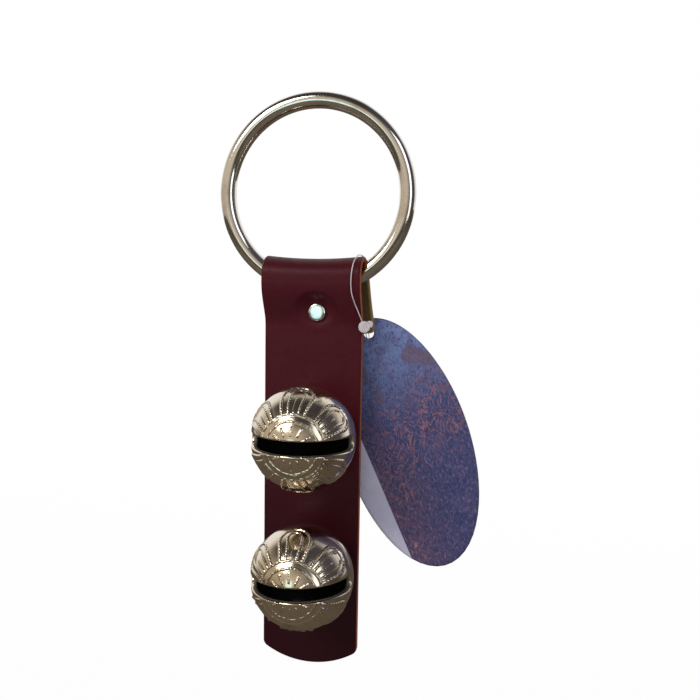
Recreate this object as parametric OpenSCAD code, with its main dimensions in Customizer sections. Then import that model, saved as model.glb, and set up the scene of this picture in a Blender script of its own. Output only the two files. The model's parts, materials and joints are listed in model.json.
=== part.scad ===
// Door-hanger sleigh bells: a steel ring, a leather strap folded over it and riveted,
// two cast bells held on by split pins, and a paper tag on a nylon loop.
// Millimetres. The origin is the top of the ring's inside, where it hangs on a hook or knob.
// +Z is up, -Y is the front and +X is to the right as seen from the front.

/* [Ring] */
// Inside diameter of the hanging ring
ring_inside_d = 63.5; // [50:0.5:90]
// Diameter of the ring's round wire
ring_wire_d = 6.35; // [4:0.05:8]

/* [Strap] */
// Width of the leather strap
strap_w = 38.1; // [30:0.1:46]
// Thickness of the leather
leather_t = 3.4; // [2:0.1:4.5]
// Thickness of the leather at the top of the fold, where it is stretched over the ring
fold_t = 2.2; // [1.2:0.1:3.4]
// Drop from the swing axis to the lowest point of the strap
strap_drop = 152.7; // [125:0.1:190]
// Height of the rounded lower end, from its corners to its lowest point
end_rise = 6; // [2:0.5:12]
// Corner radius at the lower end
end_corner_r = 3; // [1:0.5:6]
// Length of the folded-back tail below the rivet
tail_len = 10.5; // [6:0.5:20]
// Sideways shift of the folded-back tail
tail_side = 1.8; // [0:0.1:3]
// Slant of the folded-back tail, in degrees
tail_slant = 8; // [0:1:10]
// How far the strap swings each way on the ring, in degrees
swing = 45; // [20:1:45]

/* [Rivet] */
// Drop from the swing axis to the rivet
rivet_drop = 12.5; // [12:0.1:20]
// Sideways place of the rivet, off the strap's middle
rivet_side = 1.6; // [-6:0.1:6]
// Diameter of the front cap
rivet_cap_d = 7; // [5:0.5:10]
// Thickness of the front cap
rivet_cap_t = 1.2; // [0.8:0.1:2]
// Diameter of the back plate
rivet_back_d = 9; // [6:0.5:12]
// Thickness of the back plate
rivet_back_t = 1; // [0.6:0.1:1.4]
// Diameter of the post through the leather
rivet_post_d = 3.4; // [2:0.1:4.5]

/* [Bells] */
// Outside diameter of a bell
bell_d = 38.1; // [30:0.1:44]
// Wall thickness of the casting
bell_wall = 2.2; // [1.5:0.1:3]
// Drop from the swing axis to the upper bell's middle
upper_bell_drop = 57; // [45:0.1:65]
// Distance from the upper bell to the lower one
bell_spacing = 51.8; // [45:0.1:65]
// Sideways place of the bells, off the strap's middle
bell_side = 2; // [-6:0.1:6]
// Gap between the back of a bell and the leather
bell_stand_off = 1.8; // [1:0.1:5]
// Width of the sound slot
slot_w = 5.2; // [4.4:0.1:7]
// Angle from the front of the bell to each end of the slot, in degrees
slot_end_angle = 86; // [60:1:88]
// Diameter of the boss behind the bell
boss_d = 12; // [9:0.5:16]
// Diameter of the shank through the strap
shank_d = 7; // [5:0.1:9]
// Diameter of the loose pellet inside
pellet_d = 9; // [7:0.5:11]

/* [Split pins] */
// Diameter of a split pin
pin_d = 2.2; // [1.6:0.1:3]
// Outside diameter of its eye
eye_d = 5.6; // [4.6:0.1:8]
// Length of its bent legs beyond the shank
leg_len = 5; // [3:0.5:7]
// Angle that each leg is bent out, in degrees
leg_bend = 50; // [20:5:70]

/* [Tag] */
// Length of the oval tag
tag_len = 101.6; // [70:0.1:120]
// Width of the oval tag
tag_w = 50.8; // [35:0.1:60]
// Thickness of the card
tag_t = 0.5; // [0.3:0.1:1]
// Tilt of the tag from upright, in degrees
tag_tilt = 19.5; // [0:0.5:30]
// Diameter of the punched hole
tag_hole_d = 4; // [3:0.5:6]
// Distance from the tag's tip to the middle of the hole
tag_hole_inset = 5.5; // [4:0.5:10]
// Diameter of the nylon loop
tie_d = 0.4; // [0.4:0.1:1]
// Diameter of the loop's lock
lock_d = 4.4; // [3.5:0.1:6]

/* [Hidden] */
$fn = 96;

// Clearances
round_play = 0.08;      // around a shank in its hole, on the radius
face_play = 0.1;        // between a turning face and what it bears on
ring_play = 0.2;        // between the ring's wire and the leather loop
pellet_play = 0.25;     // between the pellet and the inside of the bell
layer_gap = 0.1;        // between the strap's two layers
tag_gap = 0.55;         // between the rivet's back plate and the tag

// Ring
wire_r = ring_wire_d / 2;
ring_r = ring_inside_d / 2 + wire_r;
ring_mid_z = -ring_inside_d / 2;

// The strap swings about a level axis halfway up the arc of wire that it covers
arc_half = ring_r - sqrt(ring_r * ring_r - strap_w * strap_w / 4);
swing_r = arc_half / 2;
swing_z = ring_mid_z - ring_r + swing_r;
edge_wire_r = wire_r / cos(asin(strap_w / 2 / ring_r));

// Leather loop: half its inside gap, its inside height and the drop to where its sides meet
loop_gap = swing_r * sin(swing)
    + sqrt(pow(wire_r * cos(swing), 2) + pow(edge_wire_r * sin(swing), 2)) + ring_play;
loop_r = swing_r + edge_wire_r + ring_play;
neck_angle = 50;
neck_drop = swing_r * cos(swing)
    + (wire_r + ring_play + swing_r * sin(swing) * cos(neck_angle)) / sin(neck_angle);
neck_side_drop = neck_drop - loop_gap / tan(neck_angle);

// Faces of the two layers, front to back
front_y = -layer_gap / 2 - leather_t;
front_back_y = -layer_gap / 2;
tail_y = layer_gap / 2;
tail_back_y = layer_gap / 2 + leather_t;
flat_drop = neck_drop + leather_t / sin(neck_angle) + front_y / tan(neck_angle);

// Rivet
rivet_z = swing_z - rivet_drop;
rivet_tip_t = rivet_cap_t / 2;

// Bells
bell_r = bell_d / 2;
bell_y = front_y - bell_stand_off - bell_r;
upper_z = swing_z - upper_bell_drop;
lower_z = upper_z - bell_spacing;
pellet_path_r = bell_r - bell_wall - pellet_d / 2 - pellet_play;
slot_end_y = -bell_r * cos(slot_end_angle);

// Split pins
pin_y = front_back_y + face_play + pin_d / 2 + 0.1;
shank_end_y = pin_y + pin_d / 2 + 1.2;
leg_r = pin_d / 2;

// Tag and its loop, which follow the strap's right edge and the swing axis
tag_y = tail_back_y + rivet_back_t + tag_gap;
tag_hang = [strap_w / 2 + 1.25, swing_z - 20.55];
lock_at = [strap_w / 2 + 1.25, front_y - 1.7, swing_z - 17.45];
lobe_at = [strap_w / 2 + 3.15, front_y - 1.5, swing_z - 16.45];
tie_shift = [strap_w / 2 - 19.05, 0, swing_z + 63.85];

// Route of the nylon loop: up the front of the strap, over the fold and down behind the tag
tie_route = [
    [19.4, -5.2, -79.4],
    [18.5, -5.6, -77.0],
    [17.5, -7.2, -74.0],
    [16.6, -8.9, -71.0],
    [16.0, -10.0, -68.0],
    [15.8, -10.2, -63.5],
    [16.1, -9.5, -59.2],
    [16.5, -7.6, -56.6],
    [16.9, -3.8, -54.8],
    [17.3, 0.6, -54.4],
    [17.8, 5.0, -55.2],
    [18.2, 8.6, -57.6],
    [18.5, 10.0, -61.2],
    [18.7, 10.1, -65.4],
    [18.9, 9.5, -70.2],
    [19.1, 8.6, -75.0],
    [19.3, 7.8, -79.6],
    [19.8, 7.0, -83.2],
    [20.3, 5.3, -84.9],
    [20.8, 3.0, -86.0],
    [21.0, 0.2, -86.3],
    [20.9, -2.6, -85.4],
    [20.6, -4.6, -83.3]
];
tie_steps = 3;

// Catmull-Rom curve through a route, with the same number of steps between points
function along(p, i, t) =
    let (a = p[max(i - 1, 0)], b = p[i], c = p[i + 1], d = p[min(i + 2, len(p) - 1)])
    0.5 * (2 * b + (c - a) * t + (2 * a - 5 * b + 4 * c - d) * t * t
        + (3 * b - a - 3 * c + d) * t * t * t);
function smooth_route(p, steps) = concat(
    [for (i = [0 : len(p) - 2]) for (s = [0 : steps - 1]) along(p, i, s / steps)],
    [p[len(p) - 1]]);
function heading(p, i) =
    let (d = p[min(i + 1, len(p) - 1)] - p[max(i - 1, 0)]) d / norm(d);
function tube_ring(p, i, r, sides) =
    let (t = heading(p, i), n = cross(t, [1, 0, 0]), u = n / norm(n), v = cross(t, u))
    [for (k = [0 : sides - 1]) p[i] + r * (cos(360 * k / sides) * u + sin(360 * k / sides) * v)];

// Tube of a small diameter along a route
module tube_along(route, d, sides = 8) {
    rings = len(route);
    points = [for (i = [0 : rings - 1]) each tube_ring(route, i, d / 2, sides)];
    walls = [for (i = [0 : rings - 2]) for (k = [0 : sides - 1])
        let (a = i * sides, b = (k + 1) % sides)
        [a + k, a + b, a + sides + b, a + sides + k]];
    first = [for (k = [sides - 1 : -1 : 0]) k];
    last = [for (k = [0 : sides - 1]) (rings - 1) * sides + k];
    polyhedron(points = points, faces = concat(walls, [first, last]), convexity = 4);
}

// Turns a flat shape drawn as (side, height) into a plate between two depths
module plate(y0, y1) {
    translate([0, y1, 0])
        rotate([90, 0, 0])
            linear_extrude(height = y1 - y0, convexity = 4)
                children();
}

// Round bar along Y between two depths
module bar_y(d, y0, y1) {
    translate([0, y1, 0])
        rotate([90, 0, 0])
            cylinder(d = d, h = y1 - y0);
}

module ring() {
    color([0.78, 0.74, 0.68])
        translate([0, 0, ring_mid_z])
            rotate([90, 0, 0])
                rotate_extrude(convexity = 4)
                    translate([ring_r, 0])
                        circle(d = ring_wire_d, $fn = 48);
}

// Half of the loop's section, drawn as (depth, height) about the swing axis
module loop_half_section() {
    difference() {
        union() {
            intersection() {
                scale([loop_r + leather_t, loop_r + fold_t])
                    circle(r = 1);
                translate([0, -loop_r])
                    square([loop_gap + leather_t, 2 * loop_r + leather_t]);
            }
            polygon([
                [0, 0],
                [loop_gap + leather_t, 0],
                [loop_gap + leather_t, -neck_side_drop - leather_t * tan(neck_angle / 2)],
                [tail_back_y, -flat_drop],
                [tail_back_y, -flat_drop - 1],
                [0, -flat_drop - 1]
            ]);
        }
        intersection() {
            circle(r = loop_r);
            translate([-1, 0])
                square([loop_gap + 1, loop_r]);
        }
        polygon([
            [-1, 0.1],
            [loop_gap, 0.1],
            [loop_gap, -neck_side_drop],
            [tail_y, -neck_drop],
            [tail_y, -flat_drop - 2],
            [-1, -flat_drop - 2]
        ]);
    }
}

// Points of an arc, centre c
function arc(c, r, a0, a1, n) =
    [for (i = [0 : n]) c + r * [cos(a0 + (a1 - a0) * i / n), sin(a0 + (a1 - a0) * i / n)]];

// Outline of the hanging part, with its rounded lower end
module hanging_outline() {
    half = strap_w / 2;
    end_r = (half * half + end_rise * end_rise) / (2 * end_rise);
    end_mid = [0, -strap_drop + end_r];
    corner_x = half - end_corner_r;
    corner_z = end_mid[1] - sqrt(pow(end_r - end_corner_r, 2) - corner_x * corner_x);
    lean = atan2(corner_x, end_mid[1] - corner_z);
    polygon(concat(
        [[-half, -flat_drop], [half, -flat_drop]],
        arc([corner_x, corner_z], end_corner_r, 0, -90 + lean, 8),
        arc(end_mid, end_r, -90 + lean, -90 - lean, 24),
        arc([-corner_x, corner_z], end_corner_r, -90 - lean, -180, 8)));
}

// Outline of the tail about the rivet
module tail_outline() {
    half = strap_w / 2;
    r = end_corner_r / 2;
    top = rivet_drop - flat_drop;
    polygon(concat(
        [[-half, top], [half, top]],
        arc([half - r, r - tail_len], r, 0, -90, 6),
        arc([r - half, r - tail_len], r, -90, -180, 6)));
}

module strap() {
    color([0.26, 0.07, 0.10])
        difference() {
            union() {
                translate([-strap_w / 2, 0, swing_z])
                    rotate([90, 0, 90])
                        linear_extrude(height = strap_w, convexity = 6) {
                            loop_half_section();
                            mirror([1, 0])
                                loop_half_section();
                        }
                translate([0, 0, swing_z])
                    plate(front_y, front_back_y)
                        hanging_outline();
                translate([tail_side, 0, rivet_z])
                    rotate([0, -tail_slant, 0])
                        plate(tail_y, tail_back_y)
                            tail_outline();
            }
            translate([rivet_side, 0, rivet_z]) {
                bar_y(rivet_post_d + 2 * round_play, front_y - 1, tail_back_y + 1);
                bar_y(rivet_cap_d + 2 * round_play, front_y - 8, front_y);
                bar_y(rivet_back_d + 2 * round_play, tail_back_y, tail_back_y + 8);
            }
            for (z = [upper_z, lower_z])
                translate([bell_side, 0, z])
                    bar_y(shank_d + 2 * round_play, front_y - 1, front_back_y + 1);
        }
}

// Cap pressed onto the tip of the post, in front of the leather
module rivet_cap() {
    rim = rivet_cap_t / 3;
    color([0.80, 0.80, 0.79])
        translate([rivet_side, 0, rivet_z])
            difference() {
                translate([0, front_y, 0])
                    rotate([90, 0, 0]) {
                        cylinder(d = rivet_cap_d, h = rivet_cap_t - rim);
                        translate([0, 0, rivet_cap_t - rim])
                            cylinder(d1 = rivet_cap_d, d2 = rivet_cap_d - 2 * rim, h = rim);
                    }
                bar_y(rivet_post_d, front_y - rivet_tip_t, front_y + 1);
            }
}

// Post and back plate, pushed through both layers from behind
module rivet_post() {
    color([0.72, 0.71, 0.69])
        translate([rivet_side, 0, rivet_z]) {
            bar_y(rivet_post_d, front_y - rivet_tip_t, tail_back_y + rivet_back_t / 2);
            bar_y(rivet_back_d, tail_back_y, tail_back_y + rivet_back_t);
        }
}

// Cast bell about its own middle, with its slot, boss and shank
module bell() {
    back_y = -bell_y;
    difference() {
        union() {
            sphere(r = bell_r);
            bar_y(boss_d, bell_r / 2, back_y + front_y - face_play);
            bar_y(shank_d, bell_r / 2, back_y + shank_end_y);
        }
        sphere(r = bell_r - bell_wall);
        translate([-bell_d, -bell_d, -slot_w / 2])
            cube([2 * bell_d, bell_d + slot_end_y - slot_w / 2, slot_w]);
        translate([-bell_d, slot_end_y - slot_w / 2, 0])
            rotate([0, 90, 0])
                cylinder(d = slot_w, h = 2 * bell_d);
        translate([0, back_y + pin_y, -shank_d])
            cylinder(d = pin_d + 2 * round_play, h = 2 * shank_d);
    }
}

module place_bell(z) {
    translate([bell_side, bell_y, z])
        children();
}

module upper_bell() {
    color([0.76, 0.70, 0.60])
        place_bell(upper_z)
            bell();
}

module lower_bell() {
    color([0.76, 0.70, 0.60])
        place_bell(lower_z)
            bell();
}

// Loose steel pellet, lying at the bottom of a bell
module pellet() {
    translate([0, 0, -pellet_path_r])
        sphere(d = pellet_d);
}

module upper_pellet() {
    color([0.55, 0.55, 0.56])
        place_bell(upper_z)
            pellet();
}

module lower_pellet() {
    color([0.55, 0.55, 0.56])
        place_bell(lower_z)
            pellet();
}

// Half-round leg of a split pin, on the +X side, pushed down and bent out below the shank
module pin_leg() {
    bend_r = pin_d;
    below = shank_d / 2 + 0.3;
    translate([0, 0, -below]) {
        intersection() {
            cylinder(r = leg_r, h = 2 * below);
            translate([layer_gap / 2, -leg_r, 0])
                cube([leg_r, 2 * leg_r, 2 * below]);
        }
        translate([bend_r + layer_gap / 2, 0, 0])
            rotate([-90, 0, 0]) {
                rotate([0, 0, 180 - leg_bend])
                    rotate_extrude(angle = leg_bend, convexity = 4)
                        leg_section(bend_r);
                rotate([0, 0, 180 - leg_bend])
                    rotate([90, 0, 0])
                        linear_extrude(height = leg_len - bend_r)
                            leg_section(bend_r);
            }
    }
}

// Half-disc section of a leg, its flat side at a distance from the axis it bends about
module leg_section(bend_r) {
    translate([bend_r, 0])
        intersection() {
            circle(r = leg_r, $fn = 48);
            translate([-leg_r, -leg_r])
                square([leg_r, 2 * leg_r]);
        }
}

// Split pin about the middle of its shank's cross hole
module split_pin() {
    wire = leg_r;
    eye_z = shank_d / 2 + eye_d / 2 + 0.2;
    pin_leg();
    mirror([1, 0, 0])
        pin_leg();
    translate([0, 0, shank_d / 2 - 0.2])
        cylinder(r = leg_r, h = wire);
    translate([0, 0, eye_z])
        rotate([90, 0, 0])
            rotate_extrude(convexity = 4)
                translate([(eye_d - wire) / 2, 0])
                    circle(d = wire, $fn = 32);
}

module upper_cotter_pin() {
    color([0.66, 0.64, 0.60])
        translate([bell_side, pin_y, upper_z])
            split_pin();
}

module lower_cotter_pin() {
    color([0.66, 0.64, 0.60])
        translate([bell_side, pin_y, lower_z])
            split_pin();
}

// Oval card, hung from its punched hole
module tag_card() {
    to_middle = tag_len / 2 - tag_hole_inset;
    color([0.37, 0.40, 0.62])
        translate([tag_hang[0], 0, tag_hang[1]])
            rotate([0, -tag_tilt, 0])
                plate(tag_y, tag_y + tag_t)
                    difference() {
                        translate([0, -to_middle])
                            polygon([for (a = [0 : 3.75 : 356.25])
                                [tag_w / 2 * cos(a), tag_len / 2 * sin(a)]]);
                        circle(d = tag_hole_d, $fn = 48);
                    }
}

module tag_tie() {
    color([0.85, 0.80, 0.80])
        translate(tie_shift)
            tube_along(smooth_route(tie_route, tie_steps), tie_d);
}

// Lock that closes the nylon loop: a round head and the smaller lobe of its plug
module tag_tie_lock() {
    lobe_d = lock_d * 0.6;
    color([0.88, 0.82, 0.81]) {
        translate(lock_at)
            bar_y(lock_d, -1.1, 1.1);
        translate(lobe_at)
            bar_y(lobe_d, -1, 1);
    }
}

ring();
strap();
rivet_cap();
rivet_post();
upper_bell();
upper_pellet();
upper_cotter_pin();
lower_bell();
lower_pellet();
lower_cotter_pin();
tag_card();
tag_tie();
tag_tie_lock();
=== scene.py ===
import json
import math

import bmesh
import bpy
import numpy as np
from mathutils import Matrix, Vector, noise


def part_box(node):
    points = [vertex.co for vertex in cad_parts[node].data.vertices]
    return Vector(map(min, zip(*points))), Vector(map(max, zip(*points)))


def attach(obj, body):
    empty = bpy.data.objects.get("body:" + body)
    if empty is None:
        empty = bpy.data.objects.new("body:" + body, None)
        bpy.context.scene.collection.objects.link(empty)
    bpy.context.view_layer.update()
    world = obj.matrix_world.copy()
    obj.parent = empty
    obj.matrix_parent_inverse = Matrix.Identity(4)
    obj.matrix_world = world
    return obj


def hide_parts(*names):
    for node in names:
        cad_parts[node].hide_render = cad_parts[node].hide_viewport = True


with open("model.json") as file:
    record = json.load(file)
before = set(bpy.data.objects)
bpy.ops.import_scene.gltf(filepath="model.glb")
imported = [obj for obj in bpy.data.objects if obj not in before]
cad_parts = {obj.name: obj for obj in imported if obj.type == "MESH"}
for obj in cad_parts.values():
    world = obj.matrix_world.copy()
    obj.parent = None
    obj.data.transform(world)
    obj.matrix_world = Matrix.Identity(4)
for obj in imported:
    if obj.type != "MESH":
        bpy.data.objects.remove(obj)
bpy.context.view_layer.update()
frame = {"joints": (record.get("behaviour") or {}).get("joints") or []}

# Meshes are worked out in millimetres in the row frame, and new_object turns them into metres.
MM = 0.001


def box_mm(node):
    low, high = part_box(node)
    return np.array(low) / MM, np.array(high) / MM


# Driving sizes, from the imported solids
ring_low, ring_high = box_mm("ring")
WIRE_R = (ring_high[1] - ring_low[1]) / 2
RING_R = (ring_high[0] - ring_low[0]) / 2 - WIRE_R
RING_MID_Z = (ring_high[2] + ring_low[2]) / 2

STRAP_HALF = 19.05
LEATHER_T = 3.4
FOLD_T = 2.0
FRONT_Y = -3.45
FLESH_Y = 0.05
STRAP_LOW_Z = box_mm("strap")[0][2]
SWING_Z = [joint["pos_m"][2] for joint in frame["joints"] if joint["name"] == "strap_swing"][0] / MM

RIVET_X = float(np.mean([b[0] for b in box_mm("rivet_cap")]))
RIVET_Z = float(np.mean([b[2] for b in box_mm("rivet_cap")]))
RIVET_CAP_R = (box_mm("rivet_cap")[1][0] - box_mm("rivet_cap")[0][0]) / 2
RIVET_BACK_R = (box_mm("rivet_post")[1][0] - box_mm("rivet_post")[0][0]) / 2
RIVET_BACK_Y = box_mm("rivet_post")[1][1]

BELL_WALL = 2.2
SLOT_HALF = 2.6
BOSS_R = 6.0
SHANK_R = 3.5
PIN_R = 1.1


def bell_place(node):
    """Middle of a bell's ball, its radius and the depth of its shank's end."""
    low, high = box_mm(node)
    radius = (high[0] - low[0]) / 2
    middle = np.array([(low[0] + high[0]) / 2, low[1] + radius, (low[2] + high[2]) / 2])
    return middle, radius, high[1] - middle[1]


# ---------------------------------------------------------------- mesh tools


def new_object(name, points, faces, body, nodes, material):
    """Smooth-shaded piece from points in millimetres, which rides a body and stands for CAD nodes."""
    mesh = bpy.data.meshes.new(name)
    mesh.from_pydata((np.asarray(points, float) * MM).tolist(), [], faces)
    work = bmesh.new()
    work.from_mesh(mesh)
    bmesh.ops.recalc_face_normals(work, faces=work.faces)
    work.to_mesh(mesh)
    work.free()
    mesh.polygons.foreach_set("use_smooth", [True] * len(mesh.polygons))
    piece = bpy.data.objects.new(name + "_look", mesh)
    bpy.context.scene.collection.objects.link(piece)
    piece.data.materials.append(material)
    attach(piece, body)
    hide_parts(*nodes)
    return piece


def tube_faces(rows, columns):
    """Quads of a grid whose columns close into a ring."""
    faces = []
    for i in range(rows - 1):
        for j in range(columns):
            k = (j + 1) % columns
            faces.append((i * columns + j, i * columns + k, (i + 1) * columns + k, (i + 1) * columns + j))
    return faces


def closed_tube(rows):
    """Points and faces of a tube of rings, with its two ends closed by fans."""
    rows = np.asarray(rows, float)
    count, columns = rows.shape[:2]
    points = np.vstack([rows.reshape(-1, 3), rows[0].mean(0), rows[-1].mean(0)])
    first, last = count * columns, count * columns + 1
    faces = tube_faces(count, columns)
    for j in range(columns):
        k = (j + 1) % columns
        faces.append((first, k, j))
        faces.append((last, (count - 1) * columns + j, (count - 1) * columns + k))
    return points, faces


def lathe(profile, middle, segments=96):
    """Surface of revolution about the Y axis through middle, from (radius, depth) pairs."""
    turn = np.linspace(0, 2 * math.pi, segments, endpoint=False)
    rows = [
        np.stack([r * np.sin(turn), np.full(segments, float(y)), r * np.cos(turn)], 1) + middle
        for r, y in profile
    ]
    return closed_tube(rows)


def join_parts(parts):
    """Points and faces of several parts as one mesh."""
    points, faces, base = [], [], 0
    for part_points, part_faces in parts:
        points.append(part_points)
        faces += [tuple(base + i for i in face) for face in part_faces]
        base += len(part_points)
    return np.vstack(points), faces


def smoothstep(value, start, end):
    t = np.clip((value - start) / (end - start), 0, 1)
    return t * t * (3 - 2 * t)


def catmull(route, steps):
    """Smooth curve through a route, with the same number of steps between its points."""
    p = [np.array(q, float) for q in route]
    curve = []
    for i in range(len(p) - 1):
        a, b, c, d = p[max(i - 1, 0)], p[i], p[i + 1], p[min(i + 2, len(p) - 1)]
        for step in range(steps):
            t = step / steps
            curve.append(0.5 * (2 * b + (c - a) * t + (2 * a - 5 * b + 4 * c - d) * t ** 2
                                + (3 * b - a - 3 * c + d) * t ** 3))
    curve.append(p[-1])
    return np.array(curve)


# ---------------------------------------------------------------- material tools


def paint(red, green, blue):
    """Shader colour of a display colour from 0 to 255."""
    levels = [c / 255 for c in (red, green, blue)]
    return tuple(((c + 0.055) / 1.055) ** 2.4 if c > 0.04 else c / 12.92 for c in levels) + (1.0,)


class Shader:
    """Short way to lay out a material's nodes."""

    def __init__(self, name):
        self.material = bpy.data.materials.new(name)
        self.material.use_nodes = True
        self.tree = self.material.node_tree
        self.bsdf = self.tree.nodes["Principled BSDF"]

    def put(self, socket, value):
        if isinstance(value, bpy.types.NodeSocket):
            self.tree.links.new(value, socket)
        else:
            socket.default_value = value

    def node(self, kind, inputs=None, **settings):
        made = self.tree.nodes.new(kind)
        for key, value in settings.items():
            setattr(made, key, value)
        for key, value in (inputs or {}).items():
            self.put(made.inputs[key], value)
        return made

    def mix(self, factor, first, second, blend="MIX"):
        made = self.node("ShaderNodeMix", data_type="RGBA", blend_type=blend)
        self.put(made.inputs[0], factor)
        self.put(made.inputs[6], first)
        self.put(made.inputs[7], second)
        return made.outputs[2]

    def math(self, operation, *values):
        made = self.node("ShaderNodeMath", operation=operation)
        for socket, value in zip(made.inputs, values):
            self.put(socket, value)
        return made.outputs[0]

    def spread(self, value, start, end, low=0.0, high=1.0):
        """Value moved from start-end to low-high, with a smooth start and stop."""
        made = self.node("ShaderNodeMapRange", interpolation_type="SMOOTHSTEP")
        for socket, level in zip(made.inputs, (value, start, end, low, high)):
            self.put(socket, level)
        return made.outputs[0]

    def attribute(self, name):
        return self.node("ShaderNodeAttribute", attribute_name=name)

    def noise(self, vector, scale, detail=4.0, roughness=0.5, distortion=0.0):
        made = self.node("ShaderNodeTexNoise", {
            "Vector": vector,
            "Scale": scale,
            "Detail": detail,
            "Roughness": roughness,
            "Distortion": distortion,
        })
        return made.outputs["Fac"]

    def stretched(self, vector, x, y, z):
        return self.node("ShaderNodeMapping", {"Vector": vector, "Scale": (x, y, z)}).outputs[0]

    def bump(self, height, strength, distance, normal=None):
        made = self.node("ShaderNodeBump", {"Height": height, "Strength": strength, "Distance": distance})
        if normal is not None:
            self.put(made.inputs["Normal"], normal)
        return made.outputs[0]

    def place(self):
        """Place on the piece, in metres in the row frame."""
        return self.node("ShaderNodeTexCoord").outputs["Object"]

    def set(self, **values):
        for key, value in values.items():
            self.put(self.bsdf.inputs[key.replace("_", " ")], value)
        return self.material


def plated_metal(name, colour, shadow, roughness, scratch=900.0, pits=0.0, raw=None):
    """Polished plate: faint smudges in colour and gloss, fine wiping marks and, on castings, soft pits.
    raw is the colour of an unpolished inside, which the mesh marks."""
    s = Shader(name)
    place = s.place()
    smudge = s.noise(place, 90.0, 5.0, 0.6)
    fine = s.noise(s.stretched(place, 1.0, 0.25, 3.0), scratch, 3.0)
    tarnish = s.spread(smudge, 0.45, 0.75)
    height = fine
    if pits:
        dimples = s.noise(place, 420.0, 2.0, 0.4)
        height = s.math("ADD", s.math("MULTIPLY", dimples, pits), s.math("MULTIPLY", fine, 0.2))
    plate = s.mix(tarnish, colour, shadow)
    gloss = s.math("ADD", s.math("MULTIPLY", smudge, 0.10), roughness)
    metal = 1.0
    if raw:
        inside = s.attribute("inside").outputs["Fac"]
        plate = s.mix(inside, plate, s.mix(smudge, raw, paint(6, 5, 4)))
        gloss = s.math("MAXIMUM", gloss, s.math("MULTIPLY", inside, 0.85))
        metal = s.math("SUBTRACT", 1.0, s.math("MULTIPLY", inside, 0.8))
    return s.set(
        Base_Color=plate,
        Metallic=metal,
        Roughness=gloss,
        Normal=s.bump(height, 0.25 if pits else 0.06, 0.00006),
    )


def leather_material():
    """Dyed grain side with pores and creases, burnished tan edges and bare flesh side. The grain is darkened towards
    the lower end as painted shade, and the flesh side's brown is darkened as painted shade for the inside of the loop.
    """
    s = Shader("burgundy_leather")
    sheet = s.attribute("sheet").outputs["Vector"]
    grain = s.attribute("grain").outputs["Fac"]
    edge = s.attribute("edge").outputs["Fac"]
    place = s.node("ShaderNodeSeparateXYZ", {"Vector": sheet})
    cloud = s.noise(sheet, 0.035, 4.0, 0.6)
    mottle = s.noise(sheet, 0.35, 6.0, 0.65)
    dye_and_shade = s.mix(cloud, paint(58, 12, 20), paint(78, 19, 29))
    dye_and_shade = s.mix(s.spread(mottle, 0.5, 0.8, 0.0, 0.45), dye_and_shade, paint(44, 9, 17))
    # Painted shade: towards the strap's lower end the grain colour darkens, standing in for the fall-off of light.
    low = s.spread(place.outputs[1], 110.0, 20.0, 0.0, 0.8)
    dye_and_shade = s.mix(low, dye_and_shade, paint(33, 7, 14))
    fibre = s.noise(s.stretched(sheet, 2.2, 0.9, 2.2), 1.3, 6.0, 0.7)
    # Flesh side: bare brown leather, painted darker as shade so the inside of the loop reads as a dark gap.
    flesh_and_shade = s.mix(fibre, paint(66, 48, 30), paint(104, 80, 50))
    layers = s.noise(s.stretched(sheet, 0.3, 0.12, 3.0), 2.0, 4.0, 0.7)
    cut = s.mix(layers, paint(124, 62, 40), paint(172, 104, 70))
    cut = s.mix(s.spread(place.outputs[1], 166.0, 178.0), cut, s.mix(layers, paint(112, 88, 52), paint(150, 122, 78)))
    raw = s.mix(edge, flesh_and_shade, cut)
    worn = s.math("ADD", grain, s.math("MULTIPLY", s.math("SUBTRACT", mottle, 0.5), 0.25))
    dyed = s.spread(worn, 0.35, 0.62)
    colour = s.mix(dyed, raw, dye_and_shade)
    pores = s.node("ShaderNodeTexVoronoi", {"Vector": sheet, "Scale": 1.5, "Randomness": 1.0})
    cells = s.spread(pores.outputs["Distance"], 0.0, 0.6)
    creases = s.noise(s.stretched(sheet, 0.12, 1.0, 1.0), 0.9, 5.0, 0.6, 0.6)
    bent = s.spread(s.math("ABSOLUTE", s.math("SUBTRACT", place.outputs[1], 140.0)), 13.0, 2.0, 0.35, 2.2)
    creases = s.math("MULTIPLY", creases, bent)
    skin = s.math("ADD", s.math("MULTIPLY", cells, 0.5), s.math("MULTIPLY", mottle, 0.6))
    skin = s.math("ADD", skin, s.math("MULTIPLY", creases, 0.5))
    nap = s.math("ADD", s.math("MULTIPLY", fibre, 1.6), s.math("MULTIPLY", layers, 0.6))
    height = s.node("ShaderNodeMix", data_type="FLOAT")
    s.put(height.inputs[0], dyed)
    s.put(height.inputs[2], nap)
    s.put(height.inputs[3], skin)
    gloss = s.math("ADD", s.math("MULTIPLY", mottle, 0.16), 0.34)
    rough = s.node("ShaderNodeMix", data_type="FLOAT")
    s.put(rough.inputs[0], dyed)
    s.put(rough.inputs[2], 0.82)
    s.put(rough.inputs[3], gloss)
    return s.set(
        Base_Color=colour,
        Roughness=rough.outputs[0],
        Specular_IOR_Level=0.13,
        Normal=s.bump(height.outputs[0], 0.35, 0.00012),
    )


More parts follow.
